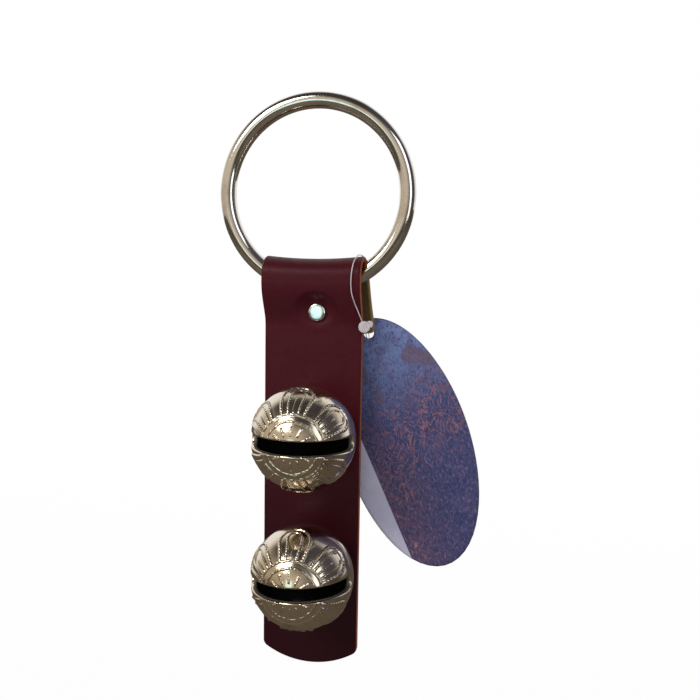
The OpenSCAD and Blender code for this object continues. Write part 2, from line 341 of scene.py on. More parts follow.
def card_material():
    """Coated card: a generic mottled dusk wash with a pale band on the front, a painted shadow line round the front's
    edge, plain cream behind.
    """
    s = Shader("printed_card")
    card = s.attribute("card").outputs["Vector"]
    face = s.attribute("face").outputs["Fac"]
    place = s.node("ShaderNodeSeparateXYZ", {"Vector": card})
    across, along = place.outputs[0], place.outputs[1]
    broad = s.noise(card, 0.055, 4.0, 0.55, 0.4)
    patches = s.noise(card, 0.22, 6.0, 0.62, 0.8)
    grit = s.noise(card, 1.5, 3.0, 0.7)
    wash = s.mix(s.spread(along, 4.0, 46.0), paint(56, 58, 100), paint(112, 128, 178))
    wash = s.mix(s.spread(patches, 0.42, 0.66, 0.0, 0.75), wash, paint(82, 70, 108))
    wash = s.mix(s.spread(broad, 0.5, 0.7, 0.0, 0.55), wash, paint(50, 60, 104))
    dusk = s.math("MULTIPLY", s.spread(along, 6.0, -34.0), s.spread(across, 12.0, -16.0))
    wash = s.mix(s.math("MULTIPLY", dusk, s.spread(patches, 0.3, 0.6, 0.35, 0.95)), wash, paint(98, 70, 96))
    streaks = s.noise(s.stretched(card, 1.0, 0.28, 1.0), 0.55, 5.0, 0.7, 1.5)
    wash = s.mix(s.math("MULTIPLY", dusk, s.spread(streaks, 0.56, 0.66)), wash, paint(186, 122, 112))
    wash = s.mix(s.spread(grit, 0.6, 0.78, 0.0, 0.35), wash, paint(150, 146, 190))
    weave = s.noise(s.stretched(card, 1.0, 0.5, 1.0), 1.3, 4.0, 0.8, 0.5)
    wash = s.mix(s.spread(weave, 0.50, 0.66, 0.0, 0.75), wash, paint(36, 40, 84))
    wash = s.mix(s.spread(weave, 0.50, 0.34, 0.0, 0.45), wash, paint(122, 126, 168))
    swirl = s.noise(s.stretched(card, 1.0, 0.6, 1.0), 0.16, 5.0, 0.6, 2.2)
    twig = s.spread(s.math("ABSOLUTE", s.math("SUBTRACT", swirl, 0.5)), 0.020, 0.006)
    belt = s.spread(s.math("ABSOLUTE", s.math("ADD", along, s.math("MULTIPLY", across, -0.5))), 24.0, 8.0)
    warm = s.mix(patches, paint(188, 122, 108), paint(120, 74, 92))
    wash = s.mix(s.math("MULTIPLY", s.math("MULTIPLY", twig, belt), 0.75), wash, warm)
    bloom = s.noise(card, 0.10, 3.0, 0.5, 1.0)
    bloom = s.math("MULTIPLY", s.spread(bloom, 0.56, 0.62), s.spread(along, -8.0, 20.0))
    bloom = s.math("MULTIPLY", bloom, s.spread(along, 44.0, 34.0))
    wash = s.mix(s.math("MULTIPLY", bloom, 0.7), wash, s.mix(grit, paint(126, 72, 84), paint(58, 84, 104)))
    line = s.math("ADD", s.math("MULTIPLY", across, 1.0), s.math("MULTIPLY", along, 0.09))
    band = s.spread(line, -15.6, -15.9)
    pale = s.mix(patches, paint(176, 172, 198), paint(204, 200, 218))
    wash = s.mix(band, wash, pale)
    rim = s.attribute("rim").outputs["Fac"]
    # Painted shadow: a dark line along the front's edge.
    wash = s.mix(s.spread(rim, 0.45, 0.2), wash, paint(30, 32, 68))
    stock = s.mix(grit, paint(214, 208, 196), paint(232, 227, 216))
    colour = s.mix(s.spread(face, 0.4, 0.6), stock, wash)
    return s.set(
        Base_Color=colour,
        Roughness=s.math("ADD", s.math("MULTIPLY", grit, 0.15), 0.38),
        Specular_IOR_Level=0.35,
        Normal=s.bump(grit, 0.08, 0.00004),
    )


def nylon_material():
    """Milky clear nylon with flow lines from moulding."""
    s = Shader("clear_nylon")
    place = s.place()
    flow = s.noise(s.stretched(place, 1.0, 1.0, 0.25), 1400.0, 3.0)
    return s.set(
        Base_Color=s.mix(flow, paint(206, 192, 196), paint(244, 236, 236)),
        Roughness=s.math("ADD", s.math("MULTIPLY", flow, 0.12), 0.16),
        IOR=1.53,
        Transmission_Weight=0.35,
        Normal=s.bump(flow, 0.12, 0.00005),
    )


# ---------------------------------------------------------------- camera, stage and light

CAMERA_PLACE = (0.07152, -0.30229, -0.05830)
CAMERA_YAW = 10.78
CAMERA_PITCH = -6.02
CAMERA_ROLL = 0.96
CAMERA_LENS = 41.39


def make_camera():
    data = bpy.data.cameras.new("camera")
    data.lens = CAMERA_LENS
    data.clip_start = 0.01
    camera = bpy.data.objects.new("camera", data)
    yaw, pitch, roll = (math.radians(a) for a in (CAMERA_YAW, CAMERA_PITCH, CAMERA_ROLL))
    ahead = Vector((-math.sin(yaw) * math.cos(pitch), math.cos(yaw) * math.cos(pitch), math.sin(pitch)))
    level = Vector((math.cos(yaw), math.sin(yaw), 0))
    upright = level.cross(ahead)
    right = level * math.cos(roll) + upright * math.sin(roll)
    up = upright * math.cos(roll) - level * math.sin(roll)
    camera.matrix_world = Matrix((right, up, -ahead)).transposed().to_4x4()
    camera.location = CAMERA_PLACE
    bpy.context.scene.collection.objects.link(camera)
    bpy.context.scene.camera = camera


FLOOR_Z = -0.42


def make_stage():
    """Pale floor well below the strap, which shows white but keeps a shadow. To glossy rays it is dark brown, a painted
    dark reflection in the metal.
    """
    mesh = bpy.data.meshes.new("floor")
    half = 4.0
    corners = [(-half, -half, FLOOR_Z), (half, -half, FLOOR_Z), (half, half, FLOOR_Z), (-half, half, FLOOR_Z)]
    mesh.from_pydata(corners, [], [(0, 1, 2, 3)])
    floor = bpy.data.objects.new("floor", mesh)
    bpy.context.scene.collection.objects.link(floor)
    s = Shader("floor")
    path = s.node("ShaderNodeLightPath")
    # Painted reflection: glossy rays see the floor dark brown, so the metal reflects darkness below it.
    floor_and_painted_reflection = s.mix(path.outputs["Is Glossy Ray"], (0.86, 0.86, 0.86, 1.0), (0.15, 0.115, 0.08, 1.0))
    s.set(Base_Color=floor_and_painted_reflection, Roughness=0.8)
    white = s.node("ShaderNodeEmission", {"Color": (1, 1, 1, 1), "Strength": 1.0})
    depth = s.node("ShaderNodeSeparateXYZ", {"Vector": s.place()}).outputs[1]
    shown = s.math("MULTIPLY", path.outputs["Is Camera Ray"], s.spread(depth, 0.1, 1.2, 0.97, 1.0))
    shown = s.math("ADD", shown, s.math("MULTIPLY", path.outputs["Is Transmission Ray"], 0.9))
    blend = s.node("ShaderNodeMixShader")
    s.put(blend.inputs[0], shown)
    s.put(blend.inputs[1], s.bsdf.outputs[0])
    s.put(blend.inputs[2], white.outputs[0])
    s.put(s.tree.nodes["Material Output"].inputs["Surface"], blend.outputs[0])
    floor.data.materials.append(s.material)


def area_light(name, place, aim, width, height, power, colour):
    data = bpy.data.lights.new(name, "AREA")
    data.shape = "RECTANGLE"
    data.size = width
    data.size_y = height
    data.energy = power
    data.color = colour
    light = bpy.data.objects.new(name, data)
    light.location = place
    light.rotation_euler = (Vector(aim) - Vector(place)).to_track_quat("-Z", "Y").to_euler()
    bpy.context.scene.collection.objects.link(light)


def make_light():
    """White studio behind the object, a warm dim room in front of it, and soft lamps."""
    world = bpy.data.worlds.new("studio")
    bpy.context.scene.world = world
    world.use_nodes = True
    tree = world.node_tree
    tree.nodes.clear()
    s = Shader.__new__(Shader)
    s.tree = tree
    way = s.node("ShaderNodeSeparateXYZ", {"Vector": s.node("ShaderNodeTexCoord").outputs["Generated"]})
    path = s.node("ShaderNodeLightPath")
    behind = s.spread(way.outputs[1], 0.15, 0.6)
    room = s.mix(s.spread(way.outputs[2], -0.45, 0.15), (0.10, 0.08, 0.06, 1), (0.60, 0.52, 0.42, 1))
    room = s.mix(s.spread(way.outputs[2], 0.3, 0.75), room, (0.05, 0.045, 0.045, 1))
    room = s.mix(s.spread(way.outputs[0], -0.1, 0.75), room, (0.07, 0.065, 0.085, 1))
    studio = s.mix(behind, room, (1, 1, 1, 1))
    seen = s.node("ShaderNodeBackground", {"Color": (1, 1, 1, 1), "Strength": 1.0})
    mirrored = s.node("ShaderNodeBackground", {"Color": studio, "Strength": 1.0})
    lit = s.node("ShaderNodeBackground", {"Color": (0.93, 0.96, 1.0, 1), "Strength": 0.42})
    first = s.node("ShaderNodeMixShader")
    s.put(first.inputs[0], path.outputs["Is Glossy Ray"])
    s.put(first.inputs[1], lit.outputs[0])
    s.put(first.inputs[2], mirrored.outputs[0])
    second = s.node("ShaderNodeMixShader")
    s.put(second.inputs[0], s.math("MAXIMUM", path.outputs["Is Camera Ray"], path.outputs["Is Transmission Ray"]))
    s.put(second.inputs[1], first.outputs[0])
    s.put(second.inputs[2], seen.outputs[0])
    s.put(s.node("ShaderNodeOutputWorld").inputs["Surface"], second.outputs[0])
    area_light("key", (-0.55, -0.75, 0.55), (0, 0, -0.10), 0.5, 0.5, 7.0, (1.0, 0.97, 0.92))
    area_light("window", (-0.23, -0.95, -0.14), (0, 0, -0.10), 0.24, 0.3, 0.26, (0.62, 0.97, 1.0))
    area_light("bounce", (-0.28, -0.62, -0.55), (0, 0, -0.15), 0.5, 0.10, 0.16, (1.0, 0.90, 0.74))
    area_light("fill", (0.7, -0.6, 0.2), (0, 0, -0.12), 0.4, 0.9, 2.0, (0.92, 0.96, 1.0))


make_camera()
make_light()
make_stage()

# ---------------------------------------------------------------- tag on its nylon loop

TIE_ROUTE = [
    (0.0194, -0.0052, -0.0794),
    (0.0185, -0.0056, -0.0770),
    (0.0175, -0.0072, -0.0740),
    (0.0166, -0.0089, -0.0710),
    (0.0160, -0.0100, -0.0680),
    (0.0158, -0.0102, -0.0635),
    (0.0161, -0.0095, -0.0592),
    (0.0165, -0.0076, -0.0566),
    (0.0169, -0.0038, -0.0548),
    (0.0173, 0.0006, -0.0544),
    (0.0178, 0.0050, -0.0552),
    (0.0182, 0.0086, -0.0576),
    (0.0185, 0.0100, -0.0612),
    (0.0187, 0.0101, -0.0654),
    (0.0189, 0.0095, -0.0702),
    (0.0191, 0.0086, -0.0750),
    (0.0193, 0.0078, -0.0796),
    (0.0198, 0.0070, -0.0832),
    (0.0203, 0.0053, -0.0849),
    (0.0208, 0.0030, -0.0860),
    (0.0210, 0.0002, -0.0863),
    (0.0209, -0.0026, -0.0854),
    (0.0206, -0.0046, -0.0833),
]
TIE_STEPS = 6
TIE_D = 0.0004

TAG_HALF_LEN = 50.8
TAG_HALF_W = 25.4
TAG_TILT = math.radians(19.5)
TAG_HOLE_R = 2.0
TAG_HANG = (20.3, -84.4)
TAG_INSET = 5.5
TAG_Y = box_mm("tag_card")[0][1]
TAG_T = 0.5
TAG_CURL = 0.9


def make_tag(material):
    """Oval card, laid out in rings from its punched hole to its edge, and curled back a little."""
    columns, rings = 192, 30
    turn = np.linspace(0, 2 * math.pi, columns, endpoint=False)
    way = np.stack([np.sin(turn), np.cos(turn)], 1)
    hole = np.array([0.0, TAG_HALF_LEN - TAG_INSET])
    half = np.array([TAG_HALF_W, TAG_HALF_LEN])
    a = ((way / half) ** 2).sum(1)
    b = 2 * (way * hole / half ** 2).sum(1)
    c = ((hole / half) ** 2).sum() - 1
    reach = (-b + np.sqrt(b * b - 4 * a * c)) / (2 * a)
    bevel = 0.12

    def ring(distance):
        return hole + way * distance[:, None]

    front = [ring(TAG_HOLE_R + bevel + (reach - TAG_HOLE_R - 2 * bevel) * (k / rings) ** 0.8)
             for k in range(rings + 1)]
    outer, inner = ring(reach), ring(np.full(columns, TAG_HOLE_R))
    loops = [(flat, 0.0, 1.0) for flat in front]
    loops += [(outer, bevel, 0.3), (outer, TAG_T - bevel, 0.0)]
    loops += [(flat, TAG_T, 0.0) for flat in front[::-1]]
    loops += [(inner, TAG_T - bevel, 0.0), (inner, bevel, 0.0)]
    points, card, face, rim = [], [], [], []
    for flat, depth, side in loops:
        across, along = flat[:, 0], flat[:, 1]
        back = TAG_CURL * (across / TAG_HALF_W) ** 2 * smoothstep(-along, -44, 10)
        back = back + 0.35 * np.sin(along / 17 + 1.0) * smoothstep(-along, -40, -10)
        x = across
        z = along - hole[1]
        points.append(np.stack([
            TAG_HANG[0] + x * math.cos(TAG_TILT) - z * math.sin(TAG_TILT),
            TAG_Y + depth + np.maximum(back, 0.0),
            TAG_HANG[1] + x * math.sin(TAG_TILT) + z * math.cos(TAG_TILT),
        ], 1))
        card.append(np.stack([across, along, np.full(columns, depth)], 1))
        face.append(np.full(columns, side))
        left = np.linalg.norm(flat - hole, axis=1)
        rim.append(np.minimum(reach - left, 9.0))
    rows = len(loops)
    faces = tube_faces(rows, columns)
    for j in range(columns):
        k = (j + 1) % columns
        faces.append(((rows - 1) * columns + j, (rows - 1) * columns + k, k, j))
    tag = new_object("tag_card", np.vstack(points), faces, "tag", ["tag_card"], material)
    store(tag, "card", np.vstack(card), "FLOAT_VECTOR")
    store(tag, "face", np.concatenate(face), "FLOAT")
    store(tag, "rim", np.concatenate(rim), "FLOAT")
    return tag


def store(piece, name, values, kind):
    """Keeps a value for each point of a mesh, for its material."""
    layer = piece.data.attributes.new(name, kind, "POINT")
    layer.data.foreach_set("vector" if kind == "FLOAT_VECTOR" else "value", np.asarray(values, np.float32).ravel())


def ribbed_head(middle, radius, half_depth):
    """Round nylon head with flutes across its faces and a fluted rim."""
    columns = 72
    turn = np.linspace(0, 2 * math.pi, columns, endpoint=False)
    flute = 1 + 0.03 * np.cos(12 * turn)
    shape = [(q, -1.0) for q in np.linspace(0.04, 0.86, 12)]
    shape += [(0.95, -0.9), (1.0, -0.65), (1.0, 0.65), (0.95, 0.9)]
    shape += [(q, 1.0) for q in np.linspace(0.86, 0.04, 12)]
    rows = []
    for r, level in shape:
        x = radius * r * np.sin(turn) * flute
        z = radius * r * np.cos(turn) * flute
        groove = 0.11 * np.cos(2 * math.pi * x / 0.8) * (abs(level) == 1.0)
        rows.append(np.stack([x, half_depth * level - np.sign(level) * groove, z], 1) + middle)
    return closed_tube(rows)


def make_lock(material):
    low, high = box_mm("tag_tie_lock")
    head = np.array([20.3, FRONT_Y - 1.7, -81.3])
    lobe = np.array([22.2, FRONT_Y - 1.5, -80.3])
    neck = [head + (lobe - head) * t for t in (0.0, 0.5, 1.0)]
    turn = np.linspace(0, 2 * math.pi, 24, endpoint=False)
    across = np.array([-(lobe - head)[2], 0, (lobe - head)[0]])
    across = across / np.linalg.norm(across)
    bridge = [
        p + 0.75 * (np.cos(turn)[:, None] * across + np.sin(turn)[:, None] * np.array([0, 1.0, 0]))
        for p in neck
    ]
    parts = [ribbed_head(head, (head[0] - low[0]), 1.1), ribbed_head(lobe, high[0] - lobe[0], 1.0),
             closed_tube(bridge)]
    points, faces = join_parts(parts)
    return new_object("tag_tie_lock", points, faces, "strap", ["tag_tie_lock"], material)


def make_tie(material, pieces):
    points = catmull(TIE_ROUTE, TIE_STEPS)
    curve = bpy.data.curves.new("tag_tie", "CURVE")
    curve.dimensions = "3D"
    curve.bevel_depth = TIE_D / 2
    curve.bevel_resolution = 4
    curve.use_fill_caps = True
    spline = curve.splines.new("POLY")
    spline.points.add(len(points) - 1)
    for point, place in zip(spline.points, points):
        point.co = (*place, 1.0)
    tie = bpy.data.objects.new("tag_tie_look", curve)
    bpy.context.scene.collection.objects.link(tie)
    curve.materials.append(material)
    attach(tie, "strap")
    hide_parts("tag_tie")


nylon = nylon_material()
make_tie(nylon, [make_lock(nylon)])
make_tag(card_material())

# ---------------------------------------------------------------- ring


def make_ring(material):
    """Round wire bent to a ring, with the swell of its butt weld at the bottom, inside the leather."""
    around, section = 288, 40
    turn = np.linspace(0, 2 * math.pi, around, endpoint=False)
    roll = np.linspace(0, 2 * math.pi, section, endpoint=False)
    rows = []
    for a in turn:
        from_weld = (a + math.pi) % (2 * math.pi) - math.pi
        swell = 1 + 0.03 * math.exp(-(from_weld / 0.03) ** 2) - 0.015 * math.exp(-(from_weld / 0.008) ** 2)
        r = RING_R + WIRE_R * swell * np.cos(roll)
        rows.append(np.stack([r * math.sin(a), WIRE_R * swell * np.sin(roll), RING_MID_Z - r * math.cos(a)], 1))
    points = np.vstack(rows)
    faces = tube_faces(around, section)
    for j in range(section):
        k = (j + 1) % section
        faces.append(((around - 1) * section + j, (around - 1) * section + k, k, j))
    return new_object("ring", points, faces, "ring", ["ring"], material)


make_ring(plated_metal("ring_plate", paint(232, 228, 220), paint(206, 196, 182), 0.05, 700.0))

# ---------------------------------------------------------------- strap

EDGE_BEVEL = 0.9
FLESH_BEVEL = 0.4
END_RISE = 6.0
END_CORNER_R = 3.0
TAIL_LEN = 10.5
TAIL_CORNER_R = 2.2
TAIL_SLANT = math.radians(8)
TAIL_SIDE = 3.0
SADDLE = 1.1

# Inside of the leather loop: half its gap, and heights about the swing axis
LOOP_GAP = 5.9
FOLD_RISE = 6.85
SIDE_DROP = 0.8
NECK_DROP = 18.0


def rounded_path(corners, radii, step=0.25):
    """Points of a line through corners whose bends are arcs of the given radii."""
    path = [np.array(corners[0], float)]
    for i in range(1, len(corners) - 1):
        before, corner, after = (np.array(corners[k], float) for k in (i - 1, i, i + 1))
        u = (before - corner) / np.linalg.norm(before - corner)
        v = (after - corner) / np.linalg.norm(after - corner)
        half = math.acos(np.clip(u @ v, -1, 1)) / 2
        start = corner + u * radii[i - 1] / math.tan(half)
        middle = corner + (u + v) / np.linalg.norm(u + v) * radii[i - 1] / math.sin(half)
        a, b = start - middle, corner + v * radii[i - 1] / math.tan(half) - middle
        sweep = math.atan2(a[0] * b[1] - a[1] * b[0], a @ b)
        for t in np.linspace(0, sweep, max(6, int(abs(sweep) * radii[i - 1] / step))):
            path.append(middle + np.array([a[0] * math.cos(t) - a[1] * math.sin(t),
                                           a[0] * math.sin(t) + a[1] * math.cos(t)]))
    path.append(np.array(corners[-1], float))
    return np.array(path)


class Sheet:
    """Leather laid along the loop's section: x across, s along from the lower end, depth from the flesh side."""

    def __init__(self):
        neck = SWING_Z - NECK_DROP
        side = SWING_Z - SIDE_DROP
        top = SWING_Z + FOLD_RISE
        tail_end = RIVET_Z - TAIL_LEN
        sway = np.linspace(0, 1, 60)
        lean = LOOP_GAP * (1 - np.cos(math.pi * sway)) / 2
        rise = neck + (side - neck) * sway
        over = rounded_path([(-LOOP_GAP, side), (-LOOP_GAP, top), (LOOP_GAP, top), (LOOP_GAP, side)], [5.0, 5.0])
        path = np.vstack([
            [(-FLESH_Y, STRAP_LOW_Z)],
            np.stack([-FLESH_Y - lean, rise], 1),
            over,
            np.stack([FLESH_Y + lean, rise], 1)[::-1],
            [(FLESH_Y, tail_end)],
        ])
        step = np.linalg.norm(np.diff(path, axis=0), axis=1)
        keep = np.concatenate([[True], step > 1e-6])
        path = path[keep]
        length = np.concatenate([[0], np.cumsum(np.linalg.norm(np.diff(path, axis=0), axis=1))])
        self.total = length[-1]
        self.at = np.arange(0, self.total, 0.2)
        self.y = np.interp(self.at, length, path[:, 0])
        self.z = np.interp(self.at, length, path[:, 1])
        kernel = np.ones(7) / 7
        turn = np.unwrap(np.arctan2(np.gradient(self.z), np.gradient(self.y)))
        turn = np.convolve(np.pad(turn, 3, mode="edge"), kernel, mode="valid")
        self.turn = turn
        self.fold = self.at[np.argmax(self.z + 0.001 * (self.y > 0) - 0.0005 * abs(self.y))]
        self.neck_back = self.total - (neck - tail_end)

    def thickness(self, s):
        return LEATHER_T - (LEATHER_T - FOLD_T) * np.exp(-((s - self.fold) / 6.5) ** 4)

    def place(self, x, s, depth):
        y = np.interp(s, self.at, self.y)
        z = np.interp(s, self.at, self.z)
        turn = np.interp(s, self.at, self.turn)
        y = y - np.sin(turn) * depth
        z = z + np.cos(turn) * depth
        z = z - SADDLE * (1 - (x / STRAP_HALF) ** 2) * np.exp(-((s - self.fold) / 9) ** 2)
        back = smoothstep(s, self.fold - 5, self.neck_back)
        slant = TAIL_SLANT * back
        up = z - RIVET_Z
        new_x = x * np.cos(slant) - up * np.sin(slant) + TAIL_SIDE * back
        z = RIVET_Z + x * np.sin(slant) + up * np.cos(slant)
        loose = smoothstep(s, self.total - TAIL_LEN, self.total + 4)
        y = y + 0.75 * loose
        y = self.pinched(new_x, y, z, s, depth)
        return np.stack([new_x, y, z], -1)

    def pinched(self, x, y, z, s, depth):
        """Depth with the leather pulled together by the rivet, which sinks a little into it."""
        near = np.hypot((x - RIVET_X) * 0.85, z - RIVET_Z)
        hold = 1 - smoothstep(near, RIVET_CAP_R + 0.2, RIVET_CAP_R + 5.2)
        side = np.where(s < self.fold, -1.0, 1.0)
        flat = side * (FLESH_Y + depth)
        y = y + (flat - y) * hold
        sunk = 0.30 * (1 - smoothstep(near, RIVET_CAP_R - 0.2, RIVET_CAP_R + 2.0))
        swell = 0.16 * np.exp(-((near - RIVET_CAP_R - 2.6) / 1.5) ** 2)
        return y - side * (sunk - swell) * np.clip(depth / LEATHER_T, 0, 1)

    def lower_edge(self, x, inset):
        """How far above s = 0 the rounded lower end starts, x across."""
        half, corner = STRAP_HALF - inset, END_CORNER_R - inset
        end_r = (STRAP_HALF ** 2 + END_RISE ** 2) / (2 * END_RISE)
        corner_x = STRAP_HALF - END_CORNER_R
        corner_up = end_r - math.sqrt((end_r - END_CORNER_R) ** 2 - corner_x ** 2)
        arc = end_r - np.sqrt((end_r - inset) ** 2 - x ** 2)
        touch = corner_x * end_r / (end_r - END_CORNER_R) * (end_r - inset) / end_r
        bend = corner_up - np.sqrt(np.clip(corner ** 2 - (abs(x) - corner_x) ** 2, 0, None))
        return np.where(abs(x) > min(touch, half), bend, arc)

    def tail_edge(self, x, inset):
        """How far before s = total the tail's lower end is, x across."""
        corner = TAIL_CORNER_R - inset
        over = np.clip(abs(x) - (STRAP_HALF - TAIL_CORNER_R), 0, corner)
        return inset + corner - np.sqrt(np.clip(corner ** 2 - over ** 2, 0, None))


def make_strap(material, holes):
    sheet = Sheet()
    inset = EDGE_BEVEL
    spread = np.sin(np.linspace(-1, 1, 57) * math.pi / 2)
    across = spread * (STRAP_HALF - inset)
    flat_end = sheet.fold - 28
    rows = np.concatenate([
        np.linspace(0, 20, 28, endpoint=False),
        np.linspace(20, flat_end, 110, endpoint=False),
        np.linspace(flat_end, sheet.total - 8, 130, endpoint=False),
        np.linspace(sheet.total - 8, sheet.total, 18),
    ])
    x, base = np.meshgrid(across, rows)
    s = base + np.clip(1 - base / 20, 0, 1) * sheet.lower_edge(x, inset)
    left = sheet.total - base
    s = s - np.clip(1 - left / 8, 0, 1) * sheet.tail_edge(x, inset)
    count, columns = x.shape
    index = np.arange(count * columns).reshape(count, columns)
    border = np.concatenate([index[0, :-1], index[:-1, -1], index[-1, :0:-1], index[:0:-1, 0]])
    flat = np.stack([x.ravel()[border], s.ravel()[border]], 1)
    along = np.roll(flat, -1, 0) - np.roll(flat, 1, 0)
    out = np.stack([along[:, 1], -along[:, 0]], 1)
    out = out / np.linalg.norm(out, axis=1)[:, None]

    points, flats, grain, edge, faces = [], [], [], [], []

    def lay(x_at, s_at, depth, grain_level, edge_level):
        points.append(sheet.place(x_at, s_at, depth))
        flats.append(np.stack([x_at, s_at, depth], 1))
        grain.append(np.full(len(x_at), grain_level))
        edge.append(np.full(len(x_at), edge_level))

    thick = sheet.thickness(s.ravel())
    lay(x.ravel(), s.ravel(), thick, 1.0, 0.0)
    lay(x.ravel(), s.ravel(), np.zeros(x.size), 0.0, 0.0)
    for i in range(count - 1):
        for j in range(columns - 1):
            a, b, c, d = index[i, j], index[i, j + 1], index[i + 1, j + 1], index[i + 1, j]
            faces.append((a, b, c, d))
            faces.append((x.size + d, x.size + c, x.size + b, x.size + a))
    steps = []
    for bend in (18, 36, 54, 72, 90):
        a = math.radians(bend)
        steps.append((inset * math.sin(a), 1, inset * (math.cos(a) - 1), 1.0 - 0.75 * bend / 90))
    steps.append((inset + 0.05, 0.5, 0.0, 0.1))
    for bend in (90, 60, 30, 0):
        a = math.radians(bend)
        steps.append((inset - FLESH_BEVEL * (1 - math.sin(a)), 0, FLESH_BEVEL * (1 - math.cos(a)), 0.0))
    before = border
    base_count = 2 * x.size
    size = len(border)
    for number, (outset, share, depth_shift, level) in enumerate(steps):
        place = flat + out * outset
        depth = sheet.thickness(np.clip(place[:, 1], 0, sheet.total)) * share + depth_shift
        lay(place[:, 0], place[:, 1], depth, level, 1.0)
        now = base_count + number * size + np.arange(size)
        for j in range(size):
            k = (j + 1) % size
            faces.append((before[j], now[j], now[k], before[k]))
        before = now
    last = x.size + border
    for j in range(size):
        k = (j + 1) % size
        faces.append((before[j], last[j], last[k], before[k]))
    points, flats = np.vstack(points), np.vstack(flats)
    grain, edge = np.concatenate(grain), np.concatenate(edge)
    strap = new_object("strap", points, faces, "strap", ["strap"], material)
    drill(strap, holes)
    keep_sheet(strap, points, flats, grain, edge)
    return strap


def drill(piece, holes):
    """Cuts round holes along Y through a piece."""
    for number, (x, z, radius) in enumerate(holes):
        points, faces = lathe([(radius, -9.0), (radius, 4.0)], np.array([x, 0, z]), 72)
        mesh = bpy.data.meshes.new("cutter")
        mesh.from_pydata((points * MM).tolist(), [], faces)
        cutter = bpy.data.objects.new("cutter", mesh)
        bpy.context.scene.collection.objects.link(cutter)
        cut = piece.modifiers.new("hole", "BOOLEAN")
        cut.operation = "DIFFERENCE"
        cut.solver = "EXACT"
        cut.object = cutter
        bpy.context.view_layer.update()
        done = bpy.data.meshes.new_from_object(piece.evaluated_get(bpy.context.evaluated_depsgraph_get()))
        piece.modifiers.clear()
        old = piece.data
        piece.data = done
        bpy.data.meshes.remove(old)
        bpy.data.objects.remove(cutter)


def keep_sheet(piece, points, flats, grain, edge):
    """Gives each point of the drilled mesh the place in the sheet of the nearest point laid."""
    from mathutils.kdtree import KDTree
    tree = KDTree(len(points))
    for number, point in enumerate(points * MM):
        tree.insert(point, number)
    tree.balance()
    found = [tree.find(v.co)[1] for v in piece.data.vertices]
    store(piece, "sheet", flats[found], "FLOAT_VECTOR")
    store(piece, "grain", grain[found], "FLOAT")
    store(piece, "edge", edge[found], "FLOAT")


upper_middle = bell_place("upper_bell")[0]
lower_middle = bell_place("lower_bell")[0]
SHANK_PLAY = 0.08
make_strap(
    leather_material(),
    [(m[0], m[2], SHANK_R + SHANK_PLAY) for m in (upper_middle, lower_middle)],
)

# ---------------------------------------------------------------- rivet


def make_rivet(material):
    cap = [(3.42, 0.6), (3.5, 0.3), (3.5, -0.35), (3.42, -0.72), (3.2, -0.98), (2.9, -1.12),
           (2.6, -1.165), (1.6, -1.19), (0.02, -1.2)]
    scale = RIVET_CAP_R / 3.5
    middle = np.array([RIVET_X, FRONT_Y, RIVET_Z])
    points, faces = lathe([(r * scale, y) for r, y in cap], middle)
    new_object("rivet_cap", points, faces, "strap", ["rivet_cap"], material)
    plate = RIVET_BACK_Y
    rim = RIVET_BACK_R
    post = [(1.7, FRONT_Y - 0.4), (1.7, plate - 1.0), (rim - 0.1, plate - 1.0), (rim, plate - 0.8), (rim, plate - 0.4),
            (rim - 0.25, plate - 0.12), (rim - 0.7, plate), (2.5, plate), (2.3, plate + 0.12), (2.0, plate + 0.14),
            (1.75, plate), (1.5, plate - 0.3), (1.1, plate - 0.5), (0.02, plate - 0.55)]
    points, faces = lathe(post, np.array([RIVET_X, 0, RIVET_Z]))
    new_object("rivet_post", points, faces, "strap", ["rivet_post"], material)


make_rivet(plated_metal("rivet_plate", paint(236, 240, 238), paint(214, 220, 218), 0.10, 1100.0))

# ---------------------------------------------------------------- bells

LIP_R = 0.5
SLOT_END_Y = -3.93
RING_ANGLES = (29.0, 37.0)
PETAL_AT = (0, 55, -55, 180, 125, -125)
BELL_COLUMNS = 600
BELL_ROWS = 190
INNER_ROWS = 22


def slot_angle(phi, radius, half):
    """Angle from the front, along each direction phi, at which a ball leaves the slot."""
    low, high = np.zeros_like(phi), np.full_like(phi, math.radians(100))
    for _ in range(40):
        middle = (low + high) / 2
        y = -radius * np.cos(middle)
        z = radius * np.sin(middle) * np.cos(phi)
        distance = np.where(y < SLOT_END_Y, abs(z), np.hypot(y - SLOT_END_Y, z))
        inside = distance < half
        low = np.where(inside, middle, low)
        high = np.where(inside, high, middle)
    return low


def ridge(distance, half_width, height):
    return height * np.clip(1 - (distance / half_width) ** 2, 0, 1) ** 0.8


def loop_ridge(theta, phi, radius, half_angle, end_angle, half_width, height):
    """Petal outline: two legs and a round end, phi measured from the petal's middle."""
    end, half = math.radians(end_angle), math.radians(half_angle)
    turn = end
    for _ in range(20):
        turn = end - math.sin(turn) * half
    side = radius * np.sin(theta) * phi
    legs = abs(abs(side) - radius * np.sin(theta) * half)
    tip = abs(np.hypot(side, radius * (theta - turn)) - radius * math.sin(turn) * half)
    started = smoothstep(theta, math.radians(RING_ANGLES[1] - 0.5), math.radians(RING_ANGLES[1] + 2.5))
    return ridge(np.where(theta < turn, legs, tip), half_width, height) * started


